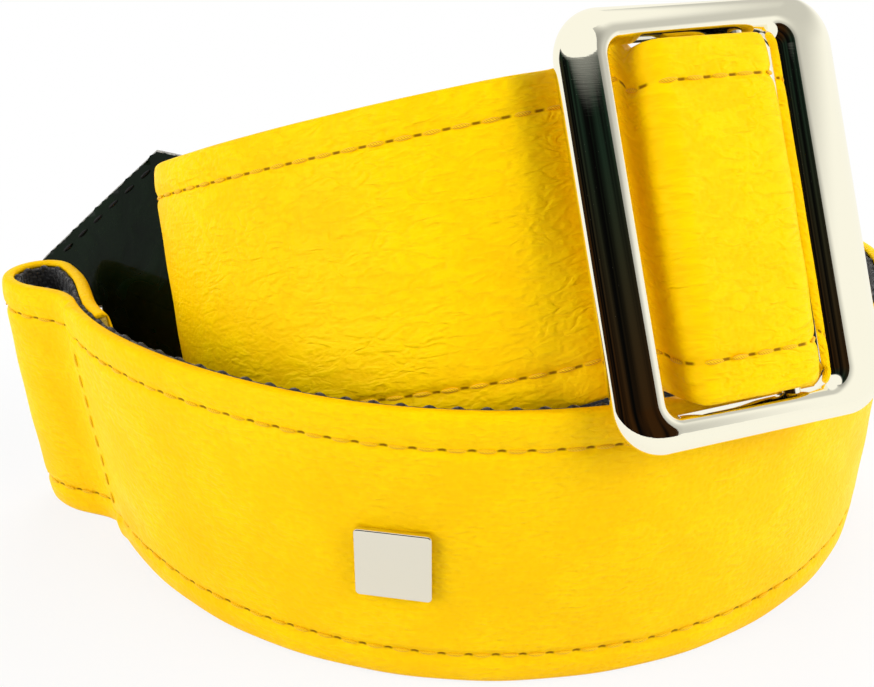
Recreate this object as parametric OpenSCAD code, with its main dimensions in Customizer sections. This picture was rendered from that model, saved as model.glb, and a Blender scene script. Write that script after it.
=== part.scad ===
// Adjustable guitar strap, rolled up: a leather-faced strap lined with webbing, a sewn end loop,
// a metal slide in the sewn fold at the other end, a badge, and a leather end tab with a keyhole.
// Millimetres. The roll stands on its lower edge, +Z is up and the badge faces -Y.

/* [Strap] */
// Width of the strap, edge to edge
strap_width = 65; // [50:1:80]
// Thickness of the face leather
cover_thickness = 1.1; // [0.8:0.1:1.6]
// Thickness of the foam under the face
foam_thickness = 1.4; // [0.8:0.1:2.4]
// Thickness of the webbing lining
webbing_thickness = 1.4; // [1:0.1:2]
// How far the face leather's turned edge lies inside the webbing's edge
edge_step = 0.2; // [0.1:0.1:1]
// Rounding of the face leather's edge
edge_round = 0.7; // [0.3:0.1:1]

/* [Stitching] */
// Distance from one stitch to the next
stitch_pitch = 5.6; // [4:0.1:8]
// Length of the thread that shows
stitch_length = 3.6; // [2:0.1:5]
// Thickness of the thread
stitch_width = 0.9; // [0.5:0.1:1.4]
// Distance from the strap's edge to the stitching
stitch_inset = 7.8; // [5:0.1:12]

/* [Roll] */
// Radius of the front run, at the joint between foam and webbing
front_radius = 105; // [90:0.5:125]
// Place of the end loop's seam on the front run, degrees round from the right
seam_angle = 213; // [205:1:220]
// Place where the front run goes over into the right-hand curve
right_angle = 347; // [335:1:355]
// Radius of the right-hand curve
right_curve = 34; // [25:1:45]
// How far inside the front run the upper run lies
upper_gap = 17.2; // [15:0.1:25]
// Radius of the bend at the left, inside the end tab
left_bend = 24; // [18:1:32]
// Place where the left bend goes over into the upper run
bend_angle = 220; // [212:1:232]
// Place where the upper run goes under the slide
slide_angle = 272.5; // [265:0.5:285]
// How much the upper run turns under the slide's first bar, in degrees
slide_turn = 23; // [5:1:30]
// Radius of that turn
slide_curve = 30; // [20:1:60]
// How far the slide pulls the strap's end down, in degrees
slide_tilt = 8.5; // [0:0.5:10]
// How much more the strap leans under the slide, as a share of its lean
slide_lean = 0.32; // [0:0.02:0.5]
// How far along the back run the strap starts to climb
rise_delay = 30; // [0:1:60]
// How far it climbs in all
rise = 62.3; // [56:0.1:80]
// Length of strap over which it climbs
rise_length = 257; // [245:1:400]
// How far the upper run leans back, per unit of height
lean_back = 0.34; // [0:0.01:0.5]
// How far the upper run leans to the left, per unit of height
lean_left = 0.15; // [0:0.01:0.3]

/* [End loop] */
// Length of the loop beyond its seam
loop_length = 35; // [24:1:40]
// Radius of the loop's round end, at the joint between foam and webbing
loop_radius = 7; // [4:0.5:9]
// How far the loop turns outwards from the front run, in degrees
loop_turn = 12; // [0:1:20]
// Length of the turned-back end behind the seam
loop_overlap = 11; // [8:1:16]
// Room left between two plies of webbing that are sewn together
ply_gap = 0.15; // [0.05:0.05:0.5]

/* [Slide] */
// Outer width of the slide, along the strap
slide_width = 62; // [54:1:72]
// Width of its two side bars
side_bar = 10; // [7:0.5:13]
// Width of its top and bottom bars
end_bar = 7; // [5:0.5:9]
// Thickness of the slide
slide_thickness = 7; // [6:0.5:9]
// Radius of the slide's outer corners
slide_corner = 10; // [7:0.5:14]
// Room above and below the strap in the window
window_clearance = 2.5; // [1.5:0.1:4]
// Room between the strap's upper edge and the window that hangs on it
hang_clearance = 0.6; // [0.4:0.1:1.2]
// Diameter of the bar that the strap is folded round
bar_diameter = 4.4; // [3.5:0.1:5]
// How far the bar lies right of the slide's middle
bar_shift = 8; // [4:0.5:10]
// How far the bar runs into the top and bottom bars
bar_seat = 3; // [2:0.5:4]
// Room between the bar and the webbing folded round it
fold_clearance = 0.3; // [0.2:0.05:0.6]
// Room between the strap and the side bar that it passes under
pass_clearance = 5.3; // [3.5:0.1:6]
// Room between that side bar and the strap as it comes up through the window
lift_clearance = 1.6; // [1:0.1:3]

/* [Badge] */
// Side of the square badge
badge_size = 16; // [12:0.5:20]
// Thickness of the badge
badge_thickness = 1.5; // [1:0.1:2.5]
// Radius of the badge's corners
badge_corner = 1; // [0.5:0.1:3]
// Place of the badge on the front run
badge_angle = 259; // [240:1:290]
// Height of the badge's middle below the strap's middle
badge_drop = 2; // [-6:0.5:6]
// Diameter of the two posts that hold the badge
post_diameter = 2.2; // [1.6:0.1:3]
// Distance between the posts
post_distance = 7; // [5:0.5:9]
// Side of the backing plate
backing_size = 12; // [10:0.5:16]
// Thickness of the backing plate
backing_thickness = 0.8; // [0.5:0.1:1.5]

/* [End tab] */
// Length of the tab from the strap to its tip
tab_length = 56; // [44:1:66]
// Length of the tab inside the bend
tab_root = 11; // [8:0.5:14]
// Length at full width beyond the slot
tab_shoulder = 4; // [1:0.5:8]
// Leather left above and below the slot
tab_margin = 5; // [3:0.5:8]
// Radius of the tab's tip
tab_tip = 12; // [8:0.5:15]
// Thickness of each of the tab's two plies
tab_ply = 1.4; // [1:0.1:2]
// How far round the left bend the tab sits, degrees from the right
tab_angle = 156; // [150:1:185]
// Room round the strap in the tab's slot
slot_clearance = 1.7; // [1.2:0.1:2.5]
// Diameter of the keyhole for the strap button
keyhole_diameter = 9; // [7:0.5:11]
// Length of the slit beside the keyhole
keyhole_slit = 8; // [5:0.5:12]
// Width of the slit
slit_width = 1.6; // [1:0.1:2.5]

/* [Hidden] */
$fn = 48;

half = strap_width / 2;
face = foam_thickness + cover_thickness;
upper_radius = front_radius - upper_gap;
sewn_step = 2 * webbing_thickness + ply_gap;
stitch_height = stitch_width / 2;
stitch_lift = 0.2;
touch = 0.02;
cover_half = half - edge_step;
foam_half = cover_half - cover_thickness;
stitch_line = half - stitch_inset;

// Vectors and easing
function unit(v) = v / norm(v);
function polar(r, a) = [r * cos(a), r * sin(a)];
function eased(t) = t <= 0 ? 0 : t >= 1 ? 1 : t * t * (3 - 2 * t);
function eased_rate(t) = t <= 0 ? 0 : t >= 1 ? 0 : 6 * t * (1 - t);
function above(a, low) = a < low ? above(a + 360, low) : a;

// A route is a chain of legs. A leg is [radius, turn in degrees], left positive, or [0, length].
// A state on the route is [x, y, heading, length so far].
function walk(at, leg, f) =
    leg[0] == 0
        ? [at[0] + f * leg[1] * cos(at[2]), at[1] + f * leg[1] * sin(at[2]), at[2], at[3] + f * leg[1]]
        : let (to = at[2] + f * leg[1], r = leg[0] * sign(leg[1]))
          [at[0] + r * (sin(to) - sin(at[2])), at[1] + r * (cos(at[2]) - cos(to)), to,
           at[3] + leg[0] * abs(f * leg[1]) * PI / 180];
function leg_length(leg) = leg[0] == 0 ? leg[1] : leg[0] * abs(leg[1]) * PI / 180;
function starts(at, legs, i = 0) =
    i == len(legs) ? [at] : concat([at], starts(walk(at, legs[i], 1), legs, i + 1));
function steps(leg, length, turn) =
    ceil(leg[0] == 0 ? leg[1] / length : max(leg_length(leg) / length, abs(leg[1]) / turn));
function states(at, legs, length, turn) =
    let (from = starts(at, legs))
    concat([for (i = [0 : len(legs) - 1], k = [0 : steps(legs[i], length, turn) - 1])
                walk(from[i], legs[i], k / steps(legs[i], length, turn))],
           [from[len(legs)]]);

// The roll in plan, round the front run's centre: front run, right curve, back run, left bend
// and upper run. The back run is the common tangent of the two curves.
right_centre = polar(front_radius - right_curve, right_angle);
left_centre = polar(upper_radius - left_bend, bend_angle);
between = left_centre - right_centre;
back_heading = above(atan2(between[1], between[0]), 0) + asin((right_curve - left_bend) / norm(between));
back_length = sqrt(pow(norm(between), 2) - pow(right_curve - left_bend, 2));
roll_legs = [[front_radius, right_angle - seam_angle],
             [right_curve, back_heading + 270 - right_angle],
             [0, back_length],
             [left_bend, bend_angle + 90 - back_heading],
             [upper_radius, slide_angle - bend_angle],
             [slide_curve, slide_turn]];
seam_state = concat(polar(front_radius, seam_angle), [seam_angle + 90, 0]);
roll_starts = starts(seam_state, roll_legs);
rise_start = roll_starts[2][3] + rise_delay;
lean_start = roll_starts[1][3];
lean_length = roll_starts[4][3] - lean_start;
slide_start = roll_starts[5][3];
slide_run = roll_starts[6][3] - slide_start;

// A station is [place, along, across, out]: the middle of the strap at the joint between foam and
// webbing, the way it runs, its upper edge's direction and the side its face looks to.
function tilted(p, a) = [p[0], cos(a) * p[1] - sin(a) * p[2], cos(a) * p[2] + sin(a) * p[1], p[3]];
function station(at) =
    let (t = (at[3] - rise_start) / rise_length,
         m = eased((at[3] - slide_start) / slide_run),
         k = eased((at[3] - lean_start) / lean_length) * (1 + slide_lean * m),
         along = unit([cos(at[2]), sin(at[2]), rise / rise_length * eased_rate(t)]),
         up = [-lean_left * k, lean_back * k, 1],
         across = unit(up - (up * along) * along),
         place = [at[0], at[1], half + rise * eased(t)])
    tilted([place, along, across, cross(along, across)], slide_tilt * m);
roll_states = states(seam_state, roll_legs, 9, 8);

// The sewn end loop, in plan: the turned-back end, the back wall, the round end, the front wall
function bezier(p, t) = pow(1 - t, 3) * p[0] + 3 * t * pow(1 - t, 2) * p[1]
                        + 3 * t * t * (1 - t) * p[2] + pow(t, 3) * p[3];
function bezier_rate(p, t) = pow(1 - t, 2) * (p[1] - p[0]) + 2 * t * (1 - t) * (p[2] - p[1])
                             + t * t * (p[3] - p[2]);
function bezier_state(p, t) =
    let (d = bezier_rate(p, t)) concat(bezier(p, t), [atan2(d[1], d[0]), 0]);
inner_radius = front_radius - sewn_step;
away = seam_angle - 90;
loop_heading = away + loop_turn;
loop_centre = polar(front_radius, seam_angle) + polar(loop_length - loop_radius - face, loop_heading);
loop_pull = loop_length / 3;
loop_back = [polar(inner_radius, seam_angle),
             polar(inner_radius, seam_angle) + polar(loop_pull, away),
             loop_centre + polar(loop_radius, loop_heading - 90) - polar(loop_pull, loop_heading),
             loop_centre + polar(loop_radius, loop_heading - 90)];
loop_front = [loop_centre + polar(loop_radius, loop_heading + 90),
              loop_centre + polar(loop_radius, loop_heading + 90) - polar(loop_pull, loop_heading),
              polar(front_radius, seam_angle) + polar(loop_pull, away),
              polar(front_radius, seam_angle)];
overlap_turn = loop_overlap / inner_radius * 180 / PI;
end_state = concat(polar(inner_radius, seam_angle + overlap_turn), [away + overlap_turn, 0]);
loop_states = concat([for (k = [0 : 2]) walk(end_state, [inner_radius, -overlap_turn], k / 3)],
                     [for (k = [0 : 8]) bezier_state(loop_back, k / 8)],
                     [for (k = [1 : 13])
                          walk(concat(loop_back[3], [loop_heading, 0]), [loop_radius, 180], k / 14)],
                     [for (k = [0 : 11]) bezier_state(loop_front, k / 12)]);
function flat_station(at) =
    [[at[0], at[1], half], [cos(at[2]), sin(at[2]), 0], [0, 0, 1], [sin(at[2]), -cos(at[2]), 0]];

// The fold round the slide's bar, in the plane of the strap where it goes under the slide
slide_station = station(roll_starts[6]);
slide_inner = slide_width - 2 * side_bar;
slide_out = face + pass_clearance + slide_thickness / 2;
bar_radius = bar_diameter / 2;
fold_radius = bar_radius + fold_clearance + webbing_thickness;
lift_turn = 80;
lift_radius = (slide_out + fold_radius) / (2 * (1 - cos(lift_turn)));
lift_length = 2 * lift_radius * sin(lift_turn);
slide_middle = lift_length / 2 - face - lift_clearance + slide_inner / 2;
return_turn = 50;
return_radius = (2 * fold_radius - sewn_step) / (2 * (1 - cos(return_turn)));
return_length = 2 * return_radius * sin(return_turn);
pad_length = slide_middle + bar_shift - lift_length;
fold_legs = [[lift_radius, -lift_turn],
             [lift_radius, lift_turn],
             [0, pad_length],
             [fold_radius, 180],
             [return_radius, return_turn],
             [return_radius, -return_turn],
             [0, max(0.5, pad_length - return_length)]];
function fold_station(at) =
    let (p = slide_station, left = -p[3])
    [p[0] + at[0] * p[1] + at[1] * left, cos(at[2]) * p[1] + sin(at[2]) * left, p[2],
     sin(at[2]) * p[1] - cos(at[2]) * left];
fold_starts = starts([0, 0, 0, 0], fold_legs);
fold_states = states([0, 0, 0, 0], fold_legs, 7, 14);

strap_stations = concat([for (at = loop_states) flat_station(at)],
                        [for (k = [0 : len(roll_states) - 2]) station(roll_states[k])],
                        [for (at = fold_states) fold_station(at)]);

// Places of the pieces on the strap
slide_drop = window_clearance - hang_clearance;
slide_place = [slide_station[0] + slide_middle * slide_station[1] - slide_drop * slide_station[2]
               + slide_out * slide_station[3],
               slide_station[1], slide_station[2], slide_station[3]];
badge_station = station(walk(seam_state, roll_legs[0], (badge_angle - seam_angle) / roll_legs[0][1]));
badge_place = [badge_station[0] - badge_drop * badge_station[2], badge_station[1], badge_station[2],
               badge_station[3]];
tab_station = station(walk(roll_starts[3], roll_legs[3],
                           (tab_angle + 90 - back_heading) / roll_legs[3][1]));

// Points of the slide's ring, in x along the strap, y across it and z out: round its four corners,
// and at each place round the bar's domed section
window = [slide_inner, strap_width + 2 * window_clearance];
ring_size = [slide_width, window[1] + 2 * end_bar];
window_corner = max(2, slide_corner - end_bar);
ring_turns = 6;
ring_sides = 16;
function corner(size, r, q, k) =
    let (a = 90 * (q + k / ring_turns), sx = (q == 0 || q == 3) ? 1 : -1, sy = q < 2 ? 1 : -1)
    [sx * (size[0] / 2 - r), sy * (size[1] / 2 - r)] + polar(r, a);
function dome(x) = sign(x) * pow(abs(x), 0.7);
ring_points = [for (q = [0 : 3], k = [0 : ring_turns])
                   let (o = corner(ring_size, slide_corner, q, k), i = corner(window, window_corner, q, k))
                   each [for (j = [0 : ring_sides - 1])
                             let (a = 360 * (j + 0.5) / ring_sides,
                                  p = (o + i) / 2 + (o - i) / 2 * dome(cos(a)))
                             [p[0], p[1], slide_thickness / 2 * dome(sin(a))]]];

// The roll is moved so that its box is centred on the origin
strap_box = [for (p = strap_stations, n = [-webbing_thickness, face], v = [-half, half])
                 p[0] + n * p[3] + v * p[2]];
slide_box = [for (p = ring_points)
                 slide_place[0] + p[0] * slide_place[1] + p[1] * slide_place[2] + p[2] * slide_place[3]];
tab_end = tab_station[0] + (tab_length + face) * tab_station[3];
box_points = concat(strap_box, slide_box, [tab_end]);
middle = -[min([for (p = box_points) p[0]]) + max([for (p = box_points) p[0]]),
           min([for (p = box_points) p[1]]) + max([for (p = box_points) p[1]]), 0] / 2;

// A section of [out, across] points swept along the stations; caps lists the end face's quads.
// Every quad is cut from its lower corner to its upper one at the next station, so that plies which
// lie on each other share their triangles where the strap twists.
function rising(p, q) = p[1] == q[1] ? p[0] < q[0] : p[1] < q[1];
module sweep(stations, section, caps) {
    n = len(stations);
    m = len(section);
    points = [for (p = stations, q = section) p[0] + q[0] * p[3] + q[1] * p[2]];
    sides = [for (i = [0 : n - 2], j = [0 : m - 1])
                 let (k = (j + 1) % m, a = i * m + j, b = i * m + k)
                 each rising(section[j], section[k]) ? [[a, b + m, b], [a, a + m, b + m]]
                                                     : [[a, a + m, b], [b, a + m, b + m]]];
    first = [for (c = caps) each [[c[0], c[1], c[2]], [c[0], c[2], c[3]]]];
    last = [for (c = first) [for (k = [2 : -1 : 0]) c[k] + (n - 1) * m]];
    polyhedron(points, concat(sides, first, last));
}

// Puts a piece drawn in x along, y across and z out at a station
module at_station(p, lift = 0) {
    o = p[0] + lift * p[3];
    multmatrix([[p[1][0], p[2][0], p[3][0], o[0]],
                [p[1][1], p[2][1], p[3][1], o[1]],
                [p[1][2], p[2][2], p[3][2], o[2]],
                [0, 0, 0, 1]])
        children();
}

module stitch(turned = false) {
    rotate(turned ? 90 : 0)
        translate([-stitch_length / 2, -stitch_width / 2, 0])
            cube([stitch_length, stitch_width, stitch_height]);
}

module badge_post_holes() {
    at_station(badge_place, -webbing_thickness - 1)
        for (x = [-0.5, 0.5])
            translate([x * post_distance, 0, 0])
                cylinder(d = post_diameter + 2 * touch, h = face + webbing_thickness + 2);
}

// The face leather with its turned edges
module strap_cover() {
    shoulder = face - edge_round;
    flat = cover_half - edge_round;
    section = [[touch, -cover_half], [shoulder, -cover_half], [face, -flat], [face, -stitch_line],
               [face, stitch_line], [face, flat], [shoulder, cover_half], [touch, cover_half],
               [touch, foam_half], [foam_thickness, foam_half], [foam_thickness, -foam_half],
               [touch, -foam_half]];
    color([0.98, 0.82, 0.05])
        translate(middle)
            difference() {
                sweep(strap_stations, section,
                      [[0, 1, 10, 11], [1, 2, 3, 10], [3, 4, 9, 10], [4, 5, 6, 9], [6, 7, 8, 9]]);
                badge_post_holes();
            }
}

module strap_foam() {
    side = foam_half - touch;
    top = foam_thickness - touch;
    color([0.85, 0.85, 0.8])
        translate(middle)
            difference() {
                sweep(strap_stations, [[touch, -side], [top, -side], [top, side], [touch, side]],
                      [[0, 1, 2, 3]]);
                badge_post_holes();
            }
}

module strap_webbing() {
    section = [[-webbing_thickness, -half], [0, -half], [0, -cover_half], [0, -foam_half],
               [0, foam_half], [0, cover_half], [0, half], [-webbing_thickness, half]];
    color([0.08, 0.08, 0.09])
        translate(middle)
            difference() {
                sweep(strap_stations, section, [[0, 1, 2, 3], [0, 3, 4, 7], [7, 4, 5, 6]]);
                badge_post_holes();
            }
}

// One stitch on the face at the height v. Its stations are where it starts, its middle and its end,
// and it lies along the line from the first to the last.
function on_face(p, v) = p[0] + v * p[2] + face * p[3];
module stitch_on(stations, v) {
    p = stations[1];
    along = unit(on_face(stations[2], v) - on_face(stations[0], v));
    across = unit(p[2] - (p[2] * along) * along);
    at_station([on_face(p, v), along, across, cross(along, across)], stitch_lift)
        stitch();
}

// One row of stitches along the face, side +1 above and -1 below
module stitch_row(side) {
    v = side * stitch_line;
    reach = stitch_length / stitch_pitch / 2;
    ends = [0.5 - reach, 0.5, 0.5 + reach];
    front_count = floor(loop_length * 0.7 / stitch_pitch);
    for (k = [0 : front_count - 1])
        stitch_on([for (f = ends) flat_station(bezier_state(loop_front, (k + f) / front_count))], v);
    for (i = [0 : len(roll_legs) - 1]) {
        count = round(leg_length(roll_legs[i]) / stitch_pitch);
        for (k = [0 : count - 1])
            stitch_on([for (f = ends) station(walk(roll_starts[i], roll_legs[i], (k + f) / count))], v);
    }
    pad_count = max(1, round(pad_length / stitch_pitch));
    for (k = [0 : pad_count - 1])
        stitch_on([for (f = ends) fold_station(walk(fold_starts[2], fold_legs[2], (k + f) / pad_count))], v);
}

module upper_stitching() {
    color([0.95, 0.72, 0.05])
        translate(middle)
            stitch_row(1);
}

module lower_stitching() {
    color([0.95, 0.72, 0.05])
        translate(middle)
            stitch_row(-1);
}

// The row across the strap that closes the end loop
module loop_seam() {
    row = strap_width - 2 * stitch_inset - 2 * stitch_pitch;
    count = floor(row / stitch_pitch);
    place = station(walk(seam_state, [front_radius, 2.2], 1));
    color([0.95, 0.72, 0.05])
        translate(middle)
            for (k = [0 : count])
                at_station(place, face + stitch_lift)
                    translate([0, (k / count - 0.5) * row, 0])
                        stitch(true);
}

// The heavy ring: bars with domed faces, wide at the sides and narrower at top and bottom
module slide_ring() {
    n = 4 * (ring_turns + 1);
    faces = [for (i = [0 : n - 1], j = [0 : ring_sides - 1])
                 let (next = ((i + 1) % n) * ring_sides, k = (j + 1) % ring_sides,
                      a = i * ring_sides + j, b = i * ring_sides + k, c = next + j, d = next + k)
                 each [[a, b, d], [a, d, c]]];
    polyhedron(ring_points, faces);
}

bar_length = window[1] + 2 * bar_seat;

module slide_frame() {
    color([0.8, 0.82, 0.84])
        translate(middle)
            at_station(slide_place)
                difference() {
                    slide_ring();
                    translate([bar_shift, 0, 0])
                        rotate([90, 0, 0])
                            cylinder(d = bar_diameter + 2 * touch, h = bar_length + touch, center = true);
                }
}

module slide_bar() {
    color([0.7, 0.72, 0.75])
        translate(middle)
            at_station(slide_place)
                translate([bar_shift, 0, 0])
                    rotate([90, 0, 0])
                        cylinder(d = bar_diameter, h = bar_length, center = true);
}

module rounded_plate(size, r, h) {
    translate([-size / 2 + r, -size / 2, 0])
        cube([size - 2 * r, size, h]);
    translate([-size / 2, -size / 2 + r, 0])
        cube([size, size - 2 * r, h]);
    for (x = [-1, 1], y = [-1, 1])
        translate([x * (size / 2 - r), y * (size / 2 - r), 0])
            cylinder(r = r, h = h);
}

// The backing plate is flat behind the curved webbing, so it stands off by the curve's depth
wall_radius = front_radius - webbing_thickness;
backing_sag = wall_radius - sqrt(wall_radius * wall_radius - backing_size * backing_size / 4) + 0.12;
backing_lift = -webbing_thickness - backing_sag - backing_thickness;
post_length = face + touch + badge_thickness / 2 - backing_lift;

// The badge, with its two posts through the strap
module badge_plate() {
    color([0.86, 0.86, 0.84])
        translate(middle)
            union() {
                at_station(badge_place, face + touch)
                    rounded_plate(badge_size, badge_corner, badge_thickness);
                at_station(badge_place, backing_lift)
                    for (x = [-0.5, 0.5])
                        translate([x * post_distance, 0, 0])
                            cylinder(d = post_diameter, h = post_length);
            }
}

module badge_backing() {
    color([0.6, 0.6, 0.6])
        translate(middle)
            at_station(badge_place, backing_lift)
                difference() {
                    rounded_plate(backing_size, badge_corner, backing_thickness);
                    for (x = [-0.5, 0.5])
                        translate([x * post_distance, 0, -1])
                            cylinder(d = post_diameter + 2 * touch, h = backing_thickness + 2);
                }
}

// The end tab, drawn with x towards its tip and y across. The strap passes through its slot.
tab_half = half + slot_clearance + tab_margin;
tip_centre = face + tab_length - tab_tip;
shoulder = face + slot_clearance + tab_shoulder;
tip_distance = norm([tip_centre - shoulder, tab_half]);
tip_turn = atan2(tab_half, shoulder - tip_centre) - acos(tab_tip / tip_distance);
tip_touch = [tip_centre, 0] + polar(tab_tip, tip_turn);

module tab_shape() {
    difference() {
        union() {
            polygon([[-tab_root, -tab_half], [shoulder, -tab_half], [tip_touch[0], -tip_touch[1]],
                     tip_touch, [shoulder, tab_half], [-tab_root, tab_half]]);
            translate([tip_centre, 0])
                circle(r = tab_tip);
        }
        translate([-webbing_thickness - slot_clearance, -half - slot_clearance])
            square([face + webbing_thickness + 2 * slot_clearance, strap_width + 2 * slot_clearance]);
        translate([tip_centre - 1, 0])
            circle(d = keyhole_diameter);
        translate([tip_centre - 1 - keyhole_diameter / 2 - keyhole_slit, -slit_width / 2])
            square([keyhole_slit + 1, slit_width]);
    }
}

// Turns x along the strap's outward side, y across it and z against its run
module at_tab(lift) {
    p = tab_station;
    o = p[0] - lift * p[1];
    multmatrix([[p[3][0], p[2][0], -p[1][0], o[0]],
                [p[3][1], p[2][1], -p[1][1], o[1]],
                [p[3][2], p[2][2], -p[1][2], o[2]],
                [0, 0, 0, 1]])
        children();
}

module tab_front() {
    color([0.05, 0.05, 0.05])
        translate(middle)
            at_tab(-tab_ply)
                linear_extrude(tab_ply)
                    tab_shape();
}

module tab_back() {
    color([0.1, 0.1, 0.1])
        translate(middle)
            at_tab(0)
                linear_extrude(tab_ply)
                    tab_shape();
}

// Stitches along the tab's two tapering edges
module tab_stitching() {
    along = tip_touch - [shoulder, tab_half];
    count = floor(norm(along) / stitch_pitch) - 1;
    inset = 3;
    color([0.16, 0.16, 0.16])
        translate(middle)
            at_tab(-tab_ply - stitch_height)
                for (side = [-1, 1], k = [0 : count - 1]) {
                    p = [shoulder, tab_half] + along * (k + 1) / (count + 1)
                        - inset * [-along[1], along[0]] / norm(along);
                    translate([p[0], side * p[1], 0])
                        rotate(side * atan2(along[1], along[0]))
                            stitch();
                }
}

strap_cover();
strap_foam();
strap_webbing();
upper_stitching();
lower_stitching();
loop_seam();
slide_frame();
slide_bar();
badge_plate();
badge_backing();
tab_front();
tab_back();
tab_stitching();
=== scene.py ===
# %% [markdown]
# # A guitar strap, rolled up
# The object is one wide padded strap: yellow leather over thin foam, lined with black webbing. It is
# rolled up and stands on its edge. One end is sewn into a loop. The other end runs through a heavy
# chrome slide, and a black leather end tab hangs on the strap at the left.
#
# The frame holds the solids at their real size and place. This script keeps that frame and dresses it:
# each soft solid is replaced by a finer piece that lies in the same space.

# %% Load the frame
import math

import bmesh
import bpy
import numpy as np
from mathutils import Matrix, Vector


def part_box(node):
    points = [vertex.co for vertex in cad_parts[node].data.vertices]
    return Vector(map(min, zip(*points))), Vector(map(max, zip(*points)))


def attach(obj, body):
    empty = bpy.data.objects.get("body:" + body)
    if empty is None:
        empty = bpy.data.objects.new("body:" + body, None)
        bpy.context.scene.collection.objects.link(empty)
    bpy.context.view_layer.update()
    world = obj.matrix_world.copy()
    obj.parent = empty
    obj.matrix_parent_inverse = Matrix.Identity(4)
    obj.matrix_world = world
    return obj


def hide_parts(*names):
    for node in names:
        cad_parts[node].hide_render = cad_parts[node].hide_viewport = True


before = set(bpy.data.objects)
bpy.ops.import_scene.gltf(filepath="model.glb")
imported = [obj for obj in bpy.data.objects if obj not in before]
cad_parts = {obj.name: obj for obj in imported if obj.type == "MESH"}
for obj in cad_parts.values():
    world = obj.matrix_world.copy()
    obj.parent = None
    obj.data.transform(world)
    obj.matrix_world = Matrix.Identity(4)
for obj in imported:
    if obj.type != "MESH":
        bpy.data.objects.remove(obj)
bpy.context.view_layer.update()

# %% [markdown]
# ## Small helpers
# Whatever stands in a scene is an object that holds data, such as a mesh, and is linked to the scene.
# Every finish is a tree of shader nodes. These helpers keep both readable: two add objects, one adds a
# node and joins or sets its inputs in one line, and the rest name the nodes that come back often.

# %% Helpers for objects and materials
def show(name, data):
    """A new object in the scene."""
    made = bpy.data.objects.new(name, data)
    bpy.context.scene.collection.objects.link(made)
    return made


def show_mesh(name, mesh, finishes):
    """A new object in the scene from a bmesh, with its finishes."""
    data = bpy.data.meshes.new(name)
    mesh.to_mesh(data)
    mesh.free()
    for finish in finishes:
        data.materials.append(finish)
    return show(name, data)


def new_finish(name, **values):
    """A material, its node tree and its Principled shader, with constant values on the shader."""
    material = bpy.data.materials.new(name)
    material.use_nodes = True
    shader = material.node_tree.nodes["Principled BSDF"]
    for socket, value in values.items():
        shader.inputs[socket.replace("_", " ")].default_value = value
    return material, material.node_tree, shader


print("object helpers ready")

# %% Helpers for nodes
def add(tree, kind, inputs=None, **settings):
    """A new shader node, with its settings made and its inputs joined to sockets or set to values."""
    made = tree.nodes.new("ShaderNode" + kind)
    for name, value in settings.items():
        setattr(made, name, value)
    for socket, value in (inputs or {}).items():
        if isinstance(value, bpy.types.NodeSocket):
            tree.links.new(value, made.inputs[socket])
        else:
            made.inputs[socket].default_value = value
    return made


def maths(tree, operation, first, second=0.0):
    """The result of one sum on sockets or numbers."""
    return add(tree, "Math", {0: first, 1: second}, operation=operation).outputs[0]


def smooth_range(tree, value, start, end, low=0.0, high=1.0):
    """The value eased from low at start to high at end."""
    made = add(tree, "MapRange", {"Value": value, "From Min": start, "From Max": end,
                                  "To Min": low, "To Max": high}, interpolation_type="SMOOTHSTEP")
    return made.outputs["Result"]


def ramp(tree, factor, low, high, start=0.0, end=1.0):
    """A colour that goes from low to high as the factor goes from start to end."""
    made = add(tree, "ValToRGB", {"Fac": factor})
    for stop, place, colour in zip(made.color_ramp.elements, (start, end), (low, high)):
        stop.position = place
        stop.color = (*colour, 1)
    return made.outputs["Color"]


print("node helpers ready")

# %% Helpers for colours and patterns
def blend(tree, factor, first, second):
    """A colour between two others."""
    return add(tree, "Mix", {0: factor, 6: first, 7: second}, data_type="RGBA").outputs[2]


def object_spot(tree):
    """The place on the object itself, in metres."""
    return add(tree, "TexCoord").outputs["Object"]


def scaled(tree, spot, scale, turn=0.0):
    """A place stretched along its axes, and turned about the last one."""
    return add(tree, "Mapping", {"Vector": spot, "Scale": scale, "Rotation": (0, 0, turn)}).outputs[0]


def noise(tree, spot, scale, detail, **more):
    """A soft random pattern, from 0 to 1."""
    return add(tree, "TexNoise", {"Vector": spot, "Scale": scale, "Detail": detail, **more}).outputs["Fac"]


def soft_cells(tree, spot, scale, smoothness):
    """A pebbled pattern, 0 in the middle of each cell."""
    return add(tree, "TexVoronoi", {"Vector": spot, "Scale": scale, "Smoothness": smoothness},
               feature="SMOOTH_F1").outputs["Distance"]


def emboss(tree, shader, height, strength, distance):
    """Makes a surface catch the light as if it had this height."""
    bump = add(tree, "Bump", {"Height": height, "Strength": strength, "Distance": distance})
    tree.links.new(bump.outputs[0], shader.inputs["Normal"])


def seen_itself(tree):
    """1 where the camera, a mirror or glass looks, 0 where only light is gathered."""
    paths = add(tree, "LightPath").outputs
    seen = maths(tree, "MAXIMUM", paths["Is Camera Ray"], paths["Is Glossy Ray"])
    return maths(tree, "MAXIMUM", seen, paths["Is Transmission Ray"])


print("pattern helpers ready")

# %% [markdown]
# ## The camera
# The picture was taken from a little above the roll, close to it. A close camera has strong
# perspective, so the place matters as much as the lens. The focal length is known in pixels, and
# Blender wants it in millimetres of a sensor that is as wide as the picture.

# %% Camera
PICTURE_WIDTH, FOCAL_PIXELS, SENSOR_WIDTH = 874, 1044, 36
CAMERA_PLACE, CAMERA_DOWN = (-0.00246, -0.23193, 0.1593), 25
CLIP_START = 0.01

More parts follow.
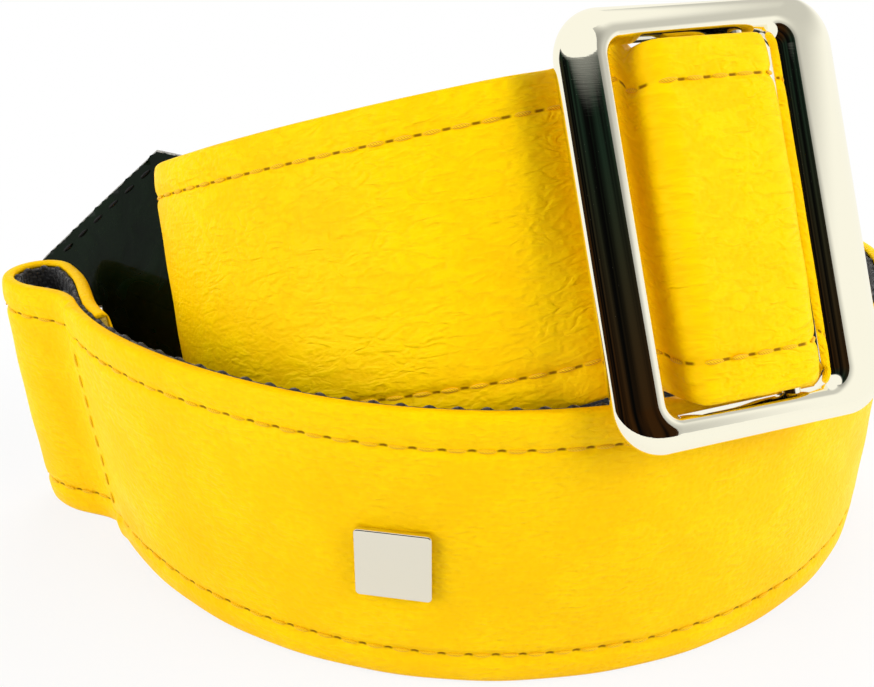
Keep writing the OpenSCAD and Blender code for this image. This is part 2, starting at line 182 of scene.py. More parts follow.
camera_data = bpy.data.cameras.new("camera")
camera_data.sensor_width = SENSOR_WIDTH
camera_data.lens = SENSOR_WIDTH * FOCAL_PIXELS / PICTURE_WIDTH
camera_data.clip_start = CLIP_START
camera = show("camera", camera_data)
camera.location = CAMERA_PLACE
camera.rotation_euler = (math.radians(90 - CAMERA_DOWN), 0, 0)
bpy.context.scene.camera = camera
bpy.context.scene.view_settings.view_transform = "Standard"
print("lens", round(camera_data.lens, 2), "mm")

# %% [markdown]
# ## Floor, background and light
# The picture has a white background and soft light. The floor is a pale plane that takes the object's
# shadow close by, and goes over into plain white further off. The world shows white to the camera and
# to mirrors, and gives a weaker, even light to everything else. Two large lamps stand left and right
# and a small one low at the left, so the roll is brightest at its sides. A fourth lights the back.

# %% Floor
FLOOR_SIZE, FLOOR_COLOUR = 6, (0.75, 0.75, 0.75, 1)
NEAR_GLOW, FAR_GLOW = 0.82, 1.0
SHADOW_NEAR, SHADOW_FAR = 0.12, 0.34
WHITE = (1, 1, 1, 1)

floor_finish, tree, shader = new_finish("pale_floor", Base_Color=FLOOR_COLOUR, Roughness=0.9)
white = add(tree, "Emission", {"Color": WHITE, "Strength": 1.0})
distance = add(tree, "VectorMath", {0: object_spot(tree)}, operation="LENGTH").outputs["Value"]
fading = smooth_range(tree, distance, SHADOW_NEAR, SHADOW_FAR, NEAR_GLOW, FAR_GLOW)
glow = maths(tree, "MULTIPLY", seen_itself(tree), fading)
mixed = add(tree, "MixShader", {0: glow, 1: shader.outputs[0], 2: white.outputs[0]})
tree.links.new(mixed.outputs[0], tree.nodes["Material Output"].inputs["Surface"])

floor_mesh = bmesh.new()
bmesh.ops.create_grid(floor_mesh, x_segments=1, y_segments=1, size=FLOOR_SIZE / 2)
show_mesh("floor", floor_mesh, [floor_finish])
print("floor", FLOOR_SIZE, "m square")

# %% World and lamps
AMBIENT = 0.3
LOOK_AT = Vector((0, 0, 0.06))

world = bpy.data.worlds.new("studio")
world.use_nodes = True
bpy.context.scene.world = world
tree = world.node_tree
even = add(tree, "Background", {"Color": WHITE, "Strength": AMBIENT})
backdrop = add(tree, "Background", {"Color": WHITE, "Strength": 1.0})
mixed = add(tree, "MixShader", {0: seen_itself(tree), 1: even.outputs[0], 2: backdrop.outputs[0]})
tree.links.new(mixed.outputs[0], tree.nodes["World Output"].inputs["Surface"])


def soft_lamp(name, place, size, watts):
    """A square lamp that faces the object and isn't mirrored in it."""
    data = bpy.data.lights.new(name, "AREA")
    data.size = size
    data.energy = watts
    lamp = show(name, data)
    lamp.location = place
    lamp.rotation_euler = (LOOK_AT - Vector(place)).to_track_quat("-Z", "Y").to_euler()
    lamp.visible_glossy = False


soft_lamp("left_lamp", (-0.85, -0.32, 0.65), 0.7, 7.0)
soft_lamp("right_lamp", (0.85, -0.38, 0.6), 0.8, 11.0)
soft_lamp("low_lamp", (-0.6, -0.4, 0.1), 0.3, 1.4)
soft_lamp("back_lamp", (0.15, 0.95, 0.55), 0.9, 10.0)

# %% [markdown]
# Chrome looks like chrome only when it has something dark to mirror. So a dark card bends round the
# front, where a photographer would stand, and a pale one with soft greys goes on from it to the right.
# Each is an upright edge that is spun about the slide. Only reflections see them. The dark card carries
# painted reflections: brown streaks low down stand for the yellow strap mirrored in the slide, higher
# up they turn greenish, and its top fades to grey.

# %% Cards for reflections
CARD_CENTRE, CARD_RADIUS, CARD_STEPS = Vector((0.05, -0.03, 0)), 0.46, 24


def curved_card(name, start, end, height):
    """An upright card from one angle to another, seen by reflections only. Gives its node tree."""
    mesh = bmesh.new()
    angle = math.radians(start)
    place = CARD_CENTRE + CARD_RADIUS * Vector((math.cos(angle), math.sin(angle), 0))
    foot, head = mesh.verts.new(place), mesh.verts.new(place + Vector((0, 0, height)))
    edge = mesh.edges.new((foot, head))
    bmesh.ops.spin(mesh, geom=[foot, head, edge], cent=CARD_CENTRE, axis=(0, 0, 1), steps=CARD_STEPS,
                   angle=math.radians(end - start))
    material, tree, _ = new_finish(name)
    card = show_mesh(name, mesh, [material])
    card.visible_camera = card.visible_diffuse = card.visible_shadow = False
    return tree


def shine(tree, colour):
    """Makes a card show a colour whatever the light."""
    glow = add(tree, "Emission", {"Color": colour, "Strength": 1.0})
    tree.links.new(glow.outputs[0], tree.nodes["Material Output"].inputs["Surface"])


print("cards stand", CARD_RADIUS, "m from the slide")

# %% Dark card and pale card
DARK_HEIGHT, PALE_HEIGHT, GREY_FROM = 0.52, 0.9, 0.455
DARK_FROM, DARK_TO, PALE_TO = 204, 315, 425
REFLECTED_BROWN, REFLECTED_GREEN = (0.034, 0.014, 0.004), (0.012, 0.026, 0.018)
DARK, GREY = (0.002, 0.002, 0.002, 1), (0.26, 0.27, 0.27, 1)
REFLECTED_STREAK_SCALE = (9, 9, 0.8)

tree = curved_card("dark_card", DARK_FROM, DARK_TO, DARK_HEIGHT)
spot = object_spot(tree)
# Painted reflections: brown streaks low on the card stand for the yellow strap mirrored in the slide,
# greenish ones higher up, and the top fades to grey.
reflected_streaks = noise(tree, scaled(tree, spot, REFLECTED_STREAK_SCALE), 1.0, 3.0)
height = add(tree, "SeparateXYZ", {"Vector": spot}).outputs["Z"]
reflected_tint = ramp(tree, height, REFLECTED_BROWN, REFLECTED_GREEN, 0.2, 0.42)
dim = blend(tree, smooth_range(tree, reflected_streaks, 0.4, 0.62), DARK, reflected_tint)
shine(tree, blend(tree, smooth_range(tree, height, GREY_FROM, DARK_HEIGHT), dim, GREY))

tree = curved_card("pale_card", DARK_TO, PALE_TO, PALE_HEIGHT)
off_centre = add(tree, "VectorMath", {0: object_spot(tree), 1: CARD_CENTRE}, operation="SUBTRACT")
parts = add(tree, "SeparateXYZ", {"Vector": off_centre.outputs[0]}).outputs
angle = maths(tree, "ARCTAN2", parts["Y"], parts["X"])
near_dark = smooth_range(tree, angle, math.radians(DARK_TO - 360), math.radians(DARK_TO - 345), 0.55, 1.0)
lower = smooth_range(tree, parts["Z"], 0.24, 0.42, 1.0, 0.62)
higher = smooth_range(tree, parts["Z"], 0.6, PALE_HEIGHT, 0.0, 0.38)
level = maths(tree, "MULTIPLY", near_dark, maths(tree, "ADD", lower, higher))
shine(tree, ramp(tree, level, (0.0, 0.0, 0.0), (1.0, 1.0, 1.0)))
print("dark card up to", DARK_HEIGHT, "m, pale card up to", PALE_HEIGHT, "m")

# %% [markdown]
# ## The strap's route
# The strap is a flat band, so everything on it can be laid out flat, as a maker would cut it, and
# then rolled along its route. A point on the band has three numbers: how far along it lies, how far
# across, and how far out from the joint between foam and webbing. The route is a chain of arcs and
# straight lines seen from above. It climbs and leans back as it comes round to the front again.
# These are the same few sizes that the solids are built from, in metres. Only the soft end loop sits
# a little further round.

# %% Sizes of the strap and its roll
STRAP_WIDTH = 0.065
COVER, FOAM, WEBBING = 0.0011, 0.0014, 0.0014
FACE = FOAM + COVER
HALF = STRAP_WIDTH / 2
FRONT_RADIUS, SEAM_ANGLE, RIGHT_ANGLE, RIGHT_CURVE = 0.105, 209, 347, 0.034
UPPER_RADIUS, LEFT_BEND, BEND_ANGLE = 0.0878, 0.024, 220
SLIDE_ANGLE, SLIDE_TURN, SLIDE_CURVE, SLIDE_TILT, SLIDE_LEAN = 272.5, 23, 0.03, 8.5, 0.32
RISE_DELAY, RISE, RISE_LENGTH, LEAN_BACK, LEAN_LEFT = 0.03, 0.0623, 0.257, 0.34, 0.15
LOOP_LENGTH, LOOP_RADIUS, LOOP_TURN, LOOP_OVERLAP = 0.035, 0.007, 12, 0.011
SEWN_GAP, STEP = 0.00015, 0.0004
SEWN_STEP = 2 * WEBBING + SEWN_GAP


def polar(radius, angle):
    return radius * np.array([math.cos(math.radians(angle)), math.sin(math.radians(angle))])


def eased(t):
    t = np.clip(t, 0, 1)
    return t * t * (3 - 2 * t)


def unit(v):
    return v / np.linalg.norm(v, axis=-1, keepdims=True)


print("strap", STRAP_WIDTH, "m wide,", round(FACE + WEBBING, 4), "m thick")

# %% Legs of the route
def walk(start, leg, share):
    """States [x, y, heading, length] at shares of a leg: [radius, turn in degrees] or [0, length]."""
    x, y, heading, gone = start
    radius, amount = leg
    share = np.asarray(share, float)
    if radius == 0:
        way = math.radians(heading)
        length = share * amount
        columns = (x + length * math.cos(way), y + length * math.sin(way), heading + 0 * share,
                   gone + length)
        return np.stack(columns, -1)
    to = heading + share * amount
    r = radius * np.sign(amount)
    a, b = math.radians(heading), np.radians(to)
    columns = (x + r * (np.sin(b) - math.sin(a)), y + r * (math.cos(a) - np.cos(b)), to,
               gone + radius * np.radians(np.abs(share * amount)))
    return np.stack(columns, -1)


def leg_length(leg):
    return leg[1] if leg[0] == 0 else leg[0] * math.radians(abs(leg[1]))


def length_of(legs):
    return sum(leg_length(leg) for leg in legs)


def walk_all(start, legs):
    """The states along a chain of legs, close together, and the state at each leg's start and the end."""
    starts, found = [np.asarray(start, float)], []
    for leg in legs:
        count = max(2, math.ceil(leg_length(leg) / STEP))
        found.append(walk(starts[-1], leg, np.arange(count) / count))
        starts.append(walk(starts[-1], leg, 1.0))
    return np.concatenate(found + [starts[-1][None]]), starts


print("legs are walked in steps of", STEP, "m")

# %% Route of the roll
right_centre = polar(FRONT_RADIUS - RIGHT_CURVE, RIGHT_ANGLE)
left_centre = polar(UPPER_RADIUS - LEFT_BEND, BEND_ANGLE)
between = left_centre - right_centre
apart = float(np.linalg.norm(between))
back_heading = math.degrees(math.atan2(between[1], between[0])) % 360
back_heading += math.degrees(math.asin((RIGHT_CURVE - LEFT_BEND) / apart))
back_length = math.sqrt(apart ** 2 - (RIGHT_CURVE - LEFT_BEND) ** 2)
roll_legs = [(FRONT_RADIUS, RIGHT_ANGLE - SEAM_ANGLE), (RIGHT_CURVE, back_heading + 270 - RIGHT_ANGLE),
             (0, back_length), (LEFT_BEND, BEND_ANGLE + 90 - back_heading),
             (UPPER_RADIUS, SLIDE_ANGLE - BEND_ANGLE), (SLIDE_CURVE, SLIDE_TURN)]
seam_state = (*polar(FRONT_RADIUS, SEAM_ANGLE), SEAM_ANGLE + 90, 0)
roll_states, roll_starts = walk_all(seam_state, roll_legs)
print("the roll is", round(roll_starts[-1][3], 3), "m long")

# %% [markdown]
# A station says where the strap's middle line is and how the band stands there: the way it runs, the
# direction of its upper edge, and the way its face looks. On the roll the strap climbs by an eased
# step and leans by another, and under the slide it is pulled down a little.

# %% Stations on the roll
def stations_of(states):
    """Rows of [place, along, across, out] for states on the roll."""
    heading, gone = np.radians(states[:, 2]), states[:, 3]
    t = (gone - roll_starts[2][3] - RISE_DELAY) / RISE_LENGTH
    m = eased((gone - roll_starts[5][3]) / (roll_starts[6][3] - roll_starts[5][3]))
    k = eased((gone - roll_starts[1][3]) / (roll_starts[4][3] - roll_starts[1][3])) * (1 + SLIDE_LEAN * m)
    inside = np.clip(t, 0, 1)
    climb = RISE / RISE_LENGTH * 6 * inside * (1 - inside)
    along = unit(np.stack([np.cos(heading), np.sin(heading), climb], -1))
    up = np.stack([-LEAN_LEFT * k, LEAN_BACK * k, np.ones_like(k)], -1)
    across = unit(up - np.sum(up * along, -1, keepdims=True) * along)
    place = np.stack([states[:, 0], states[:, 1], HALF + RISE * eased(t)], -1)
    out = np.cross(along, across)
    tilt = np.radians(SLIDE_TILT * m)[:, None]
    tilted_along = np.cos(tilt) * along - np.sin(tilt) * across
    tilted_across = np.cos(tilt) * across + np.sin(tilt) * along
    return np.stack([place, tilted_along, tilted_across, out], 1)


roll = stations_of(roll_states)
slide_station = roll[-1]
print("the slide's end leans by", np.round(slide_station[2], 3))

# %% [markdown]
# The end loop is a flat ribbon seen from above: the turned-back end, a wall that swells out, a round
# end and a wall that comes back to the seam. Two Bezier curves make the walls, because they leave the
# seam and meet the round end without a corner.

# %% Stations in the end loop
WALL_STEPS = 70


def bezier_states(p):
    t = np.linspace(0, 1, WALL_STEPS, endpoint=False)[:, None]
    spot = (1 - t) ** 3 * p[0] + 3 * t * (1 - t) ** 2 * p[1] + 3 * t * t * (1 - t) * p[2] + t ** 3 * p[3]
    rate = (1 - t) ** 2 * (p[1] - p[0]) + 2 * t * (1 - t) * (p[2] - p[1]) + t * t * (p[3] - p[2])
    return np.column_stack([spot, np.degrees(np.arctan2(rate[:, 1], rate[:, 0])), 0 * t])


def flat_stations(states):
    heading = np.radians(states[:, 2])
    zero = 0 * heading
    place = np.stack([states[:, 0], states[:, 1], zero + HALF], -1)
    along = np.stack([np.cos(heading), np.sin(heading), zero], -1)
    across = np.stack([zero, zero, zero + 1], -1)
    return np.stack([place, along, across, np.cross(along, across)], 1)


inner_radius = FRONT_RADIUS - SEWN_STEP
away = SEAM_ANGLE - 90
loop_heading = away + LOOP_TURN
seam_point, seam_inner = polar(FRONT_RADIUS, SEAM_ANGLE), polar(inner_radius, SEAM_ANGLE)
loop_centre = seam_point + polar(LOOP_LENGTH - LOOP_RADIUS - FACE, loop_heading)
turn_in = loop_centre + polar(LOOP_RADIUS, loop_heading - 90)
turn_out = loop_centre + polar(LOOP_RADIUS, loop_heading + 90)
pull_away, pull_round = polar(LOOP_LENGTH / 3, away), polar(LOOP_LENGTH / 3, loop_heading)
loop_back = [seam_inner, seam_inner + pull_away, turn_in - pull_round, turn_in]
loop_front = [turn_out, turn_out - pull_round, seam_point + pull_away, seam_point]
overlap_turn = math.degrees(LOOP_OVERLAP / inner_radius)
end_state = (*polar(inner_radius, SEAM_ANGLE + overlap_turn), away + overlap_turn, 0)
turned_back = walk_all(end_state, [(inner_radius, -overlap_turn)])[0][:-1]
round_end = walk_all((*turn_in, loop_heading, 0), [(LOOP_RADIUS, 180)])[0][:-1]
loop_parts = [turned_back, bezier_states(loop_back), round_end, bezier_states(loop_front)]
loop = flat_stations(np.concatenate(loop_parts))
print("the end loop has", len(loop), "stations")

# %% [markdown]
# At the slide the strap comes up through the window, runs flat over the bar, folds round it and is
# sewn back onto itself. That fold is drawn in the plane of the strap where it goes under the slide.

# %% Stations in the fold
SLIDE_WIDTH, SIDE_BAR, SLIDE_THICKNESS = 0.062, 0.01, 0.007
BAR_RADIUS, BAR_SHIFT, FOLD_CLEARANCE = 0.0022, 0.008, 0.0003
PASS_CLEARANCE, LIFT_CLEARANCE = 0.0053, 0.0016
LIFT_TURN, RETURN_TURN = 80, 50
LIFT_START, LIFT_STEEP, LOW_BEND, TOP_BEND = 0.0074, 85, 0.0045, 0.0018

slide_inner = SLIDE_WIDTH - 2 * SIDE_BAR
slide_out = FACE + PASS_CLEARANCE + SLIDE_THICKNESS / 2
fold_radius = BAR_RADIUS + FOLD_CLEARANCE + WEBBING
lift_radius = (slide_out + fold_radius) / (2 * (1 - math.cos(math.radians(LIFT_TURN))))
lift_length = 2 * lift_radius * math.sin(math.radians(LIFT_TURN))
slide_middle = lift_length / 2 - FACE - LIFT_CLEARANCE + slide_inner / 2
return_radius = (2 * fold_radius - SEWN_STEP) / (2 * (1 - math.cos(math.radians(RETURN_TURN))))
return_length = 2 * return_radius * math.sin(math.radians(RETURN_TURN))
pad_length = slide_middle + BAR_SHIFT - lift_length
steep = math.radians(LIFT_STEEP)
both_bends = LOW_BEND + TOP_BEND
lift_straight = (slide_out + fold_radius - both_bends * (1 - math.cos(steep))) / math.sin(steep)
lift_run = both_bends * math.sin(steep) + lift_straight * math.cos(steep)
pad_run = pad_length + lift_length - LIFT_START - lift_run
fold_legs = [(0, LIFT_START), (LOW_BEND, -LIFT_STEEP), (0, lift_straight), (TOP_BEND, LIFT_STEEP),
             (0, pad_run), (fold_radius, 180), (return_radius, RETURN_TURN), (return_radius, -RETURN_TURN),
             (0, pad_length - return_length)]


def fold_stations(states):
    place, along, across, out = slide_station
    heading = np.radians(states[:, 2])[:, None]
    spot = place + states[:, 0:1] * along - states[:, 1:2] * out
    ahead = np.cos(heading) * along - np.sin(heading) * out
    side = np.sin(heading) * along + np.cos(heading) * out
    return np.stack([spot, ahead, np.broadcast_to(across, spot.shape), side], 1)


fold = fold_stations(walk_all((0, 0, 0, 0), fold_legs)[0])
print("the pad over the bar is", round(pad_length, 4), "m long")

# %% [markdown]
# Now the three stretches are joined into one table, measured by length along the band. The badge's
# backing plate is symmetrical, so the middle of its box says where the frame's origin lies.

# %% One table of stations
BADGE_ANGLE, BADGE_DROP, BADGE_SIZE, BADGE_THICKNESS = 259, 0.002, 0.016, 0.0015
BACKING_SIZE, BACKING_THICKNESS, BACKING_GAP = 0.012, 0.0008, 0.00012
SAME_PLACE = 1e-7

band = np.concatenate([loop, roll[:-1], fold])
steps = np.linalg.norm(np.diff(band[:, 0], axis=0), axis=1)
band = band[np.concatenate([[True], steps > SAME_PLACE])]
reach = np.concatenate([[0], np.cumsum(steps[steps > SAME_PLACE])])
strap_length = float(reach[-1])

wall_radius = FRONT_RADIUS - WEBBING
backing_sag = wall_radius - math.sqrt(wall_radius ** 2 - BACKING_SIZE ** 2 / 4) + BACKING_GAP
backing_lift = -WEBBING - backing_sag - BACKING_THICKNESS
badge_share = (BADGE_ANGLE - SEAM_ANGLE) / roll_legs[0][1]
badge_station = stations_of(walk(seam_state, roll_legs[0], [badge_share]))[0]
badge_middle = badge_station[0] - BADGE_DROP * badge_station[2]
backing_middle = badge_middle + (backing_lift + BACKING_THICKNESS / 2) * badge_station[3]
shift = np.array(sum(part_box("badge_backing"), Vector())) / 2 - backing_middle
band[:, 0] += shift
print("strap", round(strap_length, 3), "m long; origin moved by", np.round(shift, 5))

# %% [markdown]
# A soft strap isn't equally wide and upright everywhere. The end loop flares to the left at its top.
# The strap spreads upwards where the slide squeezes it, and the folded pad spreads downwards until it
# fills the slide's window. Each only moves the middle line and changes the direction across.

# %% Flare and spread
FLARE, FLARE_REACH, FLARE_FADE = 0.092, 0.07, 0.5
PAD_DROP, DROP_REACH = 0.0038, 0.016
LIFT_RISE, RISE_BEFORE, RISE_HOLD, RISE_FADE = 0.004, 0.006, 0.008, 0.005

seam_gap = np.linalg.norm(band[:, 0, :2] - shift[:2] - seam_point, axis=1)
loop_seam_at = reach[np.argmin(seam_gap)]
badge_at = loop_seam_at + badge_share * leg_length(roll_legs[0])
in_loop = (np.arange(len(band)) >= len(turned_back)) & (np.arange(len(band)) < len(loop))
past_loop = eased(1 - seam_gap / FLARE_REACH)
flare = FLARE * np.where(in_loop, 1 - FLARE_FADE * seam_gap / LOOP_LENGTH, past_loop)
flare[len(loop) + len(roll) // 3:] = 0
band[:, 0, 0] -= flare * HALF
band[:, 2, 0] -= flare

pad_start = strap_length - length_of(fold_legs[4:])
bent = (reach - strap_length + length_of(fold_legs[5:])) / leg_length(fold_legs[5])
drop = PAD_DROP * (eased((reach - pad_start + DROP_REACH) / DROP_REACH) - eased(bent))[:, None]
climbed = reach - pad_start + length_of(fold_legs[1:4])
rise = eased((climbed + RISE_BEFORE) / RISE_BEFORE) - eased((climbed - RISE_HOLD) / RISE_FADE)
rise = LIFT_RISE * rise[:, None]
band[:, 0] += (rise - drop) / 2 * band[:, 2]
band[:, 2] *= 1 + (rise + drop) / (2 * HALF)


def station_at(length, column):
    """One column of the table at lengths along the band: 0 place, 1 along, 2 across, 3 out."""
    return np.stack([np.interp(length, reach, band[:, column, axis]) for axis in range(3)], -1)


def on_band(length, out, across):
    """Points of the rolled-up strap for places on the flat band."""
    out, across = np.asarray(out)[..., None], np.asarray(across)[..., None]
    return station_at(length, 0) + out * station_at(length, 3) + across * station_at(length, 2)


print("the badge stands at", np.round(on_band(badge_at, 0, 0), 4))

# %% [markdown]
# ## Making pieces
# A band of any section starts as a flat grid: its columns go along the strap and its rows round the
# section. The grid gets its UV map while it is flat, so that patterns follow the strap, and then each
# vertex moves to its place on the roll. Merging doubles closes the section, and the ends are filled.

# %% Piece helpers
def finish_piece(name, mesh, finishes, body, node):
    """Turns a bmesh into a piece that rides on a body and stands for a solid."""
    piece = show_mesh(name, mesh, finishes)
    quads = piece.data.polygons
    quads.foreach_set("use_smooth", [True] * len(quads))
    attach(piece, body)
    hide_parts(node)
    print(name, len(quads), "faces")
    return piece


def stand_at(mesh, axes, place):
    """Moves a bmesh so that its x, y and z follow three axes and its origin is at a place."""
    stand = np.eye(4)
    stand[:3] = np.column_stack([*axes, place])
    bmesh.ops.transform(mesh, matrix=Matrix(stand.tolist()), verts=mesh.verts)
    return mesh


def soften(mesh, edges, width, segments):
    """Bevels edges of a bmesh, and gives the new faces."""
    return bmesh.ops.bevel(mesh, geom=edges, offset=width, affect="EDGES", segments=segments, profile=0.5,
                           material=-1)["faces"]


print("piece helpers ready")

# %% Rolling a band
MERGE = 1e-6


def grid_spots(mesh, columns, rows):
    """Makes a flat grid in a bmesh, and says in which column and row each vertex lies."""
    bmesh.ops.create_grid(mesh, x_segments=columns, y_segments=rows, size=0.5)
    return {v: (round((v.co.x + 0.5) * columns), round((v.co.y + 0.5) * rows)) for v in mesh.verts}


def run_round(section):
    """How far round a closed section each point lies, up to the first one again, in metres."""
    steps = np.linalg.norm(np.diff(np.vstack([section, section[:1]]), axis=0), axis=1)
    return np.concatenate([[0], np.cumsum(steps)])


def spread(section, lengths):
    """The out and the across of a section's points, once for each length."""
    return [np.tile(section[:, k], (len(lengths), 1)) for k in (0, 1)]


def roll_band(lengths, out, across, around):
    """A closed band, from the out and across of its points and how far round the section they lie."""
    places = on_band(lengths[:, None], out, across)
    rows = places.shape[1]
    mesh = bmesh.new()
    layer = mesh.loops.layers.uv.new("run")
    spots = grid_spots(mesh, len(lengths) - 1, rows)
    for quad in mesh.faces:
        for corner in quad.loops:
            column, row = spots[corner.vert]
            corner[layer].uv = (lengths[column], around[row])
    for vertex, (column, row) in spots.items():
        vertex.co = places[column, row % rows]
    bmesh.ops.remove_doubles(mesh, verts=mesh.verts, dist=MERGE)
    bmesh.ops.holes_fill(mesh, edges=[edge for edge in mesh.edges if edge.is_boundary], sides=0)
    bmesh.ops.recalc_face_normals(mesh, faces=mesh.faces)
    return mesh


print("band helpers ready")

# %% [markdown]
# ## Yellow leather
# The face is soft coated leather: an even warm yellow with fine wrinkles that run mostly along the
# strap, a pebbled grain between them, and gloss that changes a little from spot to spot. Shade is
# painted into the low places of the wrinkles as a darker orange, and into the needle holes between the
# stitches as dark brown. The UV map holds real lengths, so a Mapping node turns it into millimetres and
# every scale below is in millimetres too.

# %% Relief of the leather
STITCH_PITCH, STITCH_LENGTH, STITCH_WIDTH, STITCH_INSET = 0.0056, 0.0036, 0.0009, 0.0078
STITCH_LINE = HALF - STITCH_INSET
MM = 1000
HANDLED_BEFORE, HANDLED_AFTER = 0.02, 0.03

handled_at = loop_seam_at + roll_starts[4][3]


def leather_height(tree, spot):
    """The height of grain and wrinkles, with crease lines where the strap is handled most."""
    wrinkles = noise(tree, scaled(tree, spot, (0.4, 1.05, 1)), 0.95, 4.0, Roughness=0.5, Distortion=0.5)
    pebbles = soft_cells(tree, spot, 0.95, 0.6)
    strength = smooth_range(tree, noise(tree, spot, 0.06, 2.0), 0.35, 0.65, 0.45, 1.0)
    deep = maths(tree, "MULTIPLY", wrinkles, strength)
    fine = maths(tree, "MULTIPLY", pebbles, 0.3)
    folds = noise(tree, scaled(tree, spot, (0.5, 1.1, 1), 0.5), 0.3, 2.0, Roughness=0.5, Distortion=0.6)
    off_line = maths(tree, "ABSOLUTE", maths(tree, "SUBTRACT", folds, 0.5))
    lines = smooth_range(tree, off_line, 0.0, 0.14, 0.0, 0.42)
    length = add(tree, "SeparateXYZ", {"Vector": spot}).outputs["X"]
    handled = smooth_range(tree, length, MM * (handled_at - HANDLED_BEFORE),
                           MM * (handled_at + HANDLED_AFTER), 0.12, 1.0)
    worn = maths(tree, "MULTIPLY", maths(tree, "MULTIPLY", lines, strength), handled)
    return maths(tree, "ADD", maths(tree, "ADD", deep, fine), worn)


def needle_hole_shade(tree, spot):
    """1 in the short gaps between stitches on the two rows, where shade is painted into the needle holes, 0
    elsewhere.
    """
    parts = add(tree, "SeparateXYZ", {"Vector": spot}).outputs
    steps = maths(tree, "DIVIDE", parts["X"], STITCH_PITCH * MM)
    off_middle = maths(tree, "ABSOLUTE", maths(tree, "SUBTRACT", maths(tree, "FRACT", steps), 0.5))
    along = maths(tree, "MULTIPLY", off_middle, STITCH_PITCH * MM)
    row = maths(tree, "SUBTRACT", maths(tree, "ABSOLUTE", parts["Y"]), STITCH_LINE * MM)
    in_gap = smooth_range(tree, along, 0.45, 1.15, 1.0, 0.0)
    on_row = smooth_range(tree, maths(tree, "ABSOLUTE", row), 0.1, 0.45, 1.0, 0.0)
    return maths(tree, "MULTIPLY", in_gap, on_row)


print("leather is creased most from", round(handled_at, 3), "m along the strap")

# %% Yellow leather finish
YELLOW, WARM_YELLOW = (1.0, 0.65, 0.0), (0.97, 0.585, 0.0)
CREASE_SHADE_COLOUR, HOLE_SHADE_COLOUR = (0.84, 0.40, 0.0, 1), (0.26, 0.12, 0.0, 1)


def yellow_leather():
    material, tree, shader = new_finish("yellow_leather", Specular_IOR_Level=0.07)
    spot = scaled(tree, add(tree, "UVMap", uv_map="run").outputs["UV"], (MM, MM, MM))
    height = leather_height(tree, spot)
    yellow = ramp(tree, noise(tree, spot, 0.035, 3.0), WARM_YELLOW, YELLOW, 0.3, 0.7)
    # Painted shade: the low places of the wrinkles are blended towards a darker orange.
    crease_shaded = blend(tree, smooth_range(tree, height, 0.25, 0.9, 0.36, 0.0), yellow, CREASE_SHADE_COLOUR)
    # Painted shade: the needle holes between the stitches are coloured dark brown.
    hole_shaded = blend(tree, needle_hole_shade(tree, spot), crease_shaded, HOLE_SHADE_COLOUR)
    tree.links.new(hole_shaded, shader.inputs["Base Color"])
    tree.links.new(smooth_range(tree, height, 0.25, 1.1, 0.5, 0.36), shader.inputs["Roughness"])
    emboss(tree, shader, height, 0.85, 0.0005)
    return material


leather = yellow_leather()
print(leather.name, len(leather.node_tree.nodes), "nodes")

# %% [markdown]
# ## The padded face
# The leather is pulled over the foam and turned down at both edges. It swells between the two rows of
# stitches, and the thread draws it into a groove with a small pit at each needle hole. Only the edge
# strips beyond the rows roll off, and their turned rims hide the edge of the lining. The section is an
# open channel, because the foam fills it. Nowhere does the leather sink into the foam.

# %% Section of the face
RIM_GAP, RIM_SHARE, RIM_SOFT, RIM_ROUND = 0.0002, 0.6, 0.0001, 0.0005
COVER_HALF = HALF - RIM_GAP
FOAM_HALF = COVER_HALF - COVER
EDGE_LOW, RIM_DEPTH, ROW_MARGIN = 0.0006, 0.0009, 0.002
ROLL_ACROSS, ROLL_OUT = 0.8, 0.55
ROLL_POINTS, ROW_POINTS, MIDDLE_POINTS = 11, 6, 17


def face_section():
    """[out, across] points round the channel, starting at the lower edge of the face."""
    turn = np.radians(np.linspace(0, 90, ROLL_POINTS))
    roll_across = (COVER_HALF - STITCH_LINE) * np.sin(turn) ** ROLL_ACROSS
    roll_out = EDGE_LOW + (FACE - EDGE_LOW) * np.cos(turn) ** ROLL_OUT
    middle = np.linspace(0, STITCH_LINE - ROW_MARGIN, MIDDLE_POINTS, endpoint=False)
    by_row = STITCH_LINE + np.linspace(-ROW_MARGIN, 0.0, ROW_POINTS)[:-1]
    half_across = np.concatenate([middle, by_row, STITCH_LINE + roll_across])
    half_out = np.concatenate([np.full(len(middle) + len(by_row), FACE), roll_out])
    upper = np.column_stack([half_out, half_across])
    lower = np.column_stack([half_out, -half_across])[:0:-1]
    half_channel = np.array([[-RIM_DEPTH * RIM_SHARE, COVER_HALF - RIM_SOFT],
                             [-RIM_DEPTH, COVER_HALF - RIM_ROUND], [-RIM_DEPTH, FOAM_HALF],
                             [FOAM, FOAM_HALF], [FOAM, 0]])
    channel = np.concatenate([half_channel, half_channel[-2::-1] * (1, -1)])
    return np.concatenate([lower, upper, channel]), len(lower) + len(upper)


section, face_count = face_section()
print("the face's section has", len(section), "points")

# %% Surface of the face
CROWN, GROOVE, GROOVE_WIDTH = 0.00035, 0.00055, 0.0011
PIT, PIT_WIDTH, PIT_LENGTH = 0.00035, 0.0006, 0.0009
BADGE_EASE, UNEVEN, THINNEST = 0.006, 0.00012, 0.0001
CREASE, CREASE_WIDTH = 0.0013, 0.0009
SWELL, SWELL_AT, SWELL_WIDTH = 0.0006, 0.0026, 0.0018
PUCKER, PUCKER_WIDTH, PUCKER_ALONG, PUCKER_UP, PUCKER_FOLDS = 0.0011, 0.006, 0.001, 0.003, 9
FACE_PER_STITCH = 6


